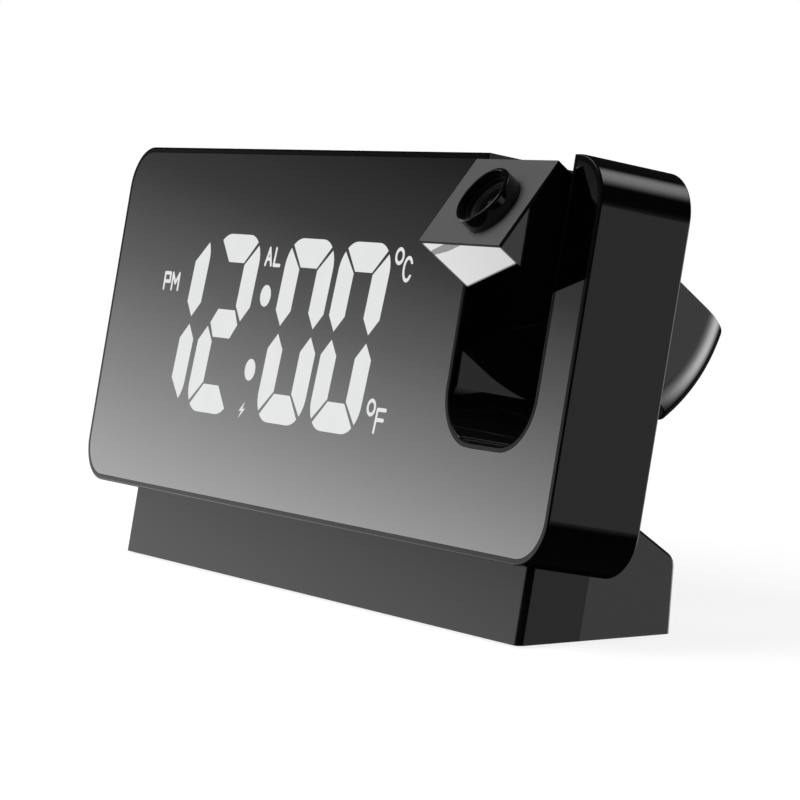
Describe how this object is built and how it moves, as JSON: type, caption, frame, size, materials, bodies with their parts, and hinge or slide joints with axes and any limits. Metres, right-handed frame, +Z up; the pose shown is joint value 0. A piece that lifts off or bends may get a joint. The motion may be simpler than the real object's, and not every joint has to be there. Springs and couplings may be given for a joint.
{
  "type": "projection alarm clock",
  "caption": "Leaning slab desk clock with a mirror front, lit time display, low base, rear buttons, and a projector arm that turns in a notch and focuses by its lens ring.",
  "frame": {"origin": "on the desk, under the middle of the clock's bounding box", "axes": "+Z up, -Y towards the reader (the display's side), +X to the reader's right"},
  "size_m": [0.19, 0.0532, 0.0886],
  "materials": {
    "black_gloss": "piano black, polished",
    "half_mirror": "grey half-mirror acrylic",
    "arm_mirror": "mirror acrylic",
    "arm_cap_grey": "grey, satin gloss",
    "lit_white": "lit white",
    "diffuser_white": "translucent white film",
    "white_box": "matt white",
    "led_white": "light-emitting diode package",
    "board_green": "circuit board, solder mask",
    "chip_black": "moulded package",
    "black_matte": "matt black",
    "bright_steel": "plated steel",
    "black_rubber": "soft rubber",
    "lens_glass": "clear, coated",
    "slide_glass": "liquid-crystal slide",
    "battery_grey": "foil-wrapped cell",
    "washer_white": "natural nylon"
  },
  "bodies": {
    "clock": {"front_shell": "black_gloss", "rear_cover": "black_gloss", "base_front": "black_gloss", "base_rear": "black_gloss", "mirror_panel": "half_mirror", "lit_segments": "lit_white", "lit_marks": "lit_white", "diffuser_film": "diffuser_white", "light_box": "white_box", "segment_leds": "led_white", "display_board": "board_green", "controller_chip": "chip_black", "thermistor": "chip_black", "buzzer": "chip_black", "base_plate": "black_matte", "key_switches": "black_matte", "snooze_switch": "black_matte", "case_screws": "bright_steel", "board_screws": "bright_steel", "plate_screws": "bright_steel", "neck_screws": "bright_steel", "prop_screws": "bright_steel", "clock_crystal": "bright_steel", "power_socket": "bright_steel", "rubber_feet": "black_rubber", "battery_pack": "battery_grey"},
    "projector": {"arm_front_shell": "black_gloss", "arm_rear_shell": "black_gloss", "arm_mirror": "arm_mirror", "arm_cap": "arm_cap_grey", "arm_screws": "bright_steel", "pivot_pins": "bright_steel", "friction_washers": "washer_white", "pivot_clips": "bright_steel", "optics_tube": "black_matte", "lcd_slide": "slide_glass", "condenser_lens": "lens_glass", "projector_board": "board_green", "projector_led": "led_white"},
    "focus_ring": {"focus_ring": "black_gloss"},
    "lens": {"lens_carrier": "black_matte", "projection_lens": "lens_glass"},
    "snooze_bar": {"snooze_bar": "black_gloss"},
    "mode_button": {"mode_button": "black_gloss"},
    "alarm_button": {"alarm_button": "black_gloss"},
    "up_button": {"up_button": "black_gloss"},
    "down_button": {"down_button": "black_gloss"},
    "projector_button": {"projector_button": "black_gloss"}
  },
  "joints": [
    {"name": "arm_turn", "type": "hinge", "parent": "clock", "child": "projector", "pos_m": [0.06932, -0.00417, 0.06737], "axis": [1, 0, 0], "range_deg": [-150.8, 29.2]},
    {"name": "lens_advance", "type": "slide", "parent": "projector", "child": "lens", "axis": [0, -0.7683, 0.6401], "range_m": [-0.0008, 0.0008]},
    {"name": "focus_turn", "type": "hinge", "parent": "projector", "child": "focus_ring", "pos_m": [0.0729, -0.02004, 0.0791], "axis": [0, -0.7683, 0.6401], "range_deg": [-140, 140]},
    {"name": "snooze_press", "type": "slide", "parent": "clock", "child": "snooze_bar", "axis": [0, -0.184, -0.9829], "range_m": [0, 0.0005], "stiffness_N_per_m": 1200, "springref_m": -0.0004},
    {"name": "mode_press", "type": "slide", "parent": "clock", "child": "mode_button", "axis": [0, -0.9829, 0.184], "range_m": [0, 0.0004], "stiffness_N_per_m": 1200, "springref_m": -0.0004},
    {"name": "alarm_press", "type": "slide", "parent": "clock", "child": "alarm_button", "axis": [0, -0.9829, 0.184], "range_m": [0, 0.0004], "stiffness_N_per_m": 1200, "springref_m": -0.0004},
    {"name": "up_press", "type": "slide", "parent": "clock", "child": "up_button", "axis": [0, -0.9829, 0.184], "range_m": [0, 0.0004], "stiffness_N_per_m": 1200, "springref_m": -0.0004},
    {"name": "down_press", "type": "slide", "parent": "clock", "child": "down_button", "axis": [0, -0.9829, 0.184], "range_m": [0, 0.0004], "stiffness_N_per_m": 1200, "springref_m": -0.0004},
    {"name": "projector_press", "type": "slide", "parent": "clock", "child": "projector_button", "axis": [0, -0.9829, 0.184], "range_m": [0, 0.0004], "stiffness_N_per_m": 1200, "springref_m": -0.0004}
  ],
  "couplings": [
    {"joint": "focus_turn", "follows": "lens_advance", "rad_per_m": 2945.2}
  ]
}
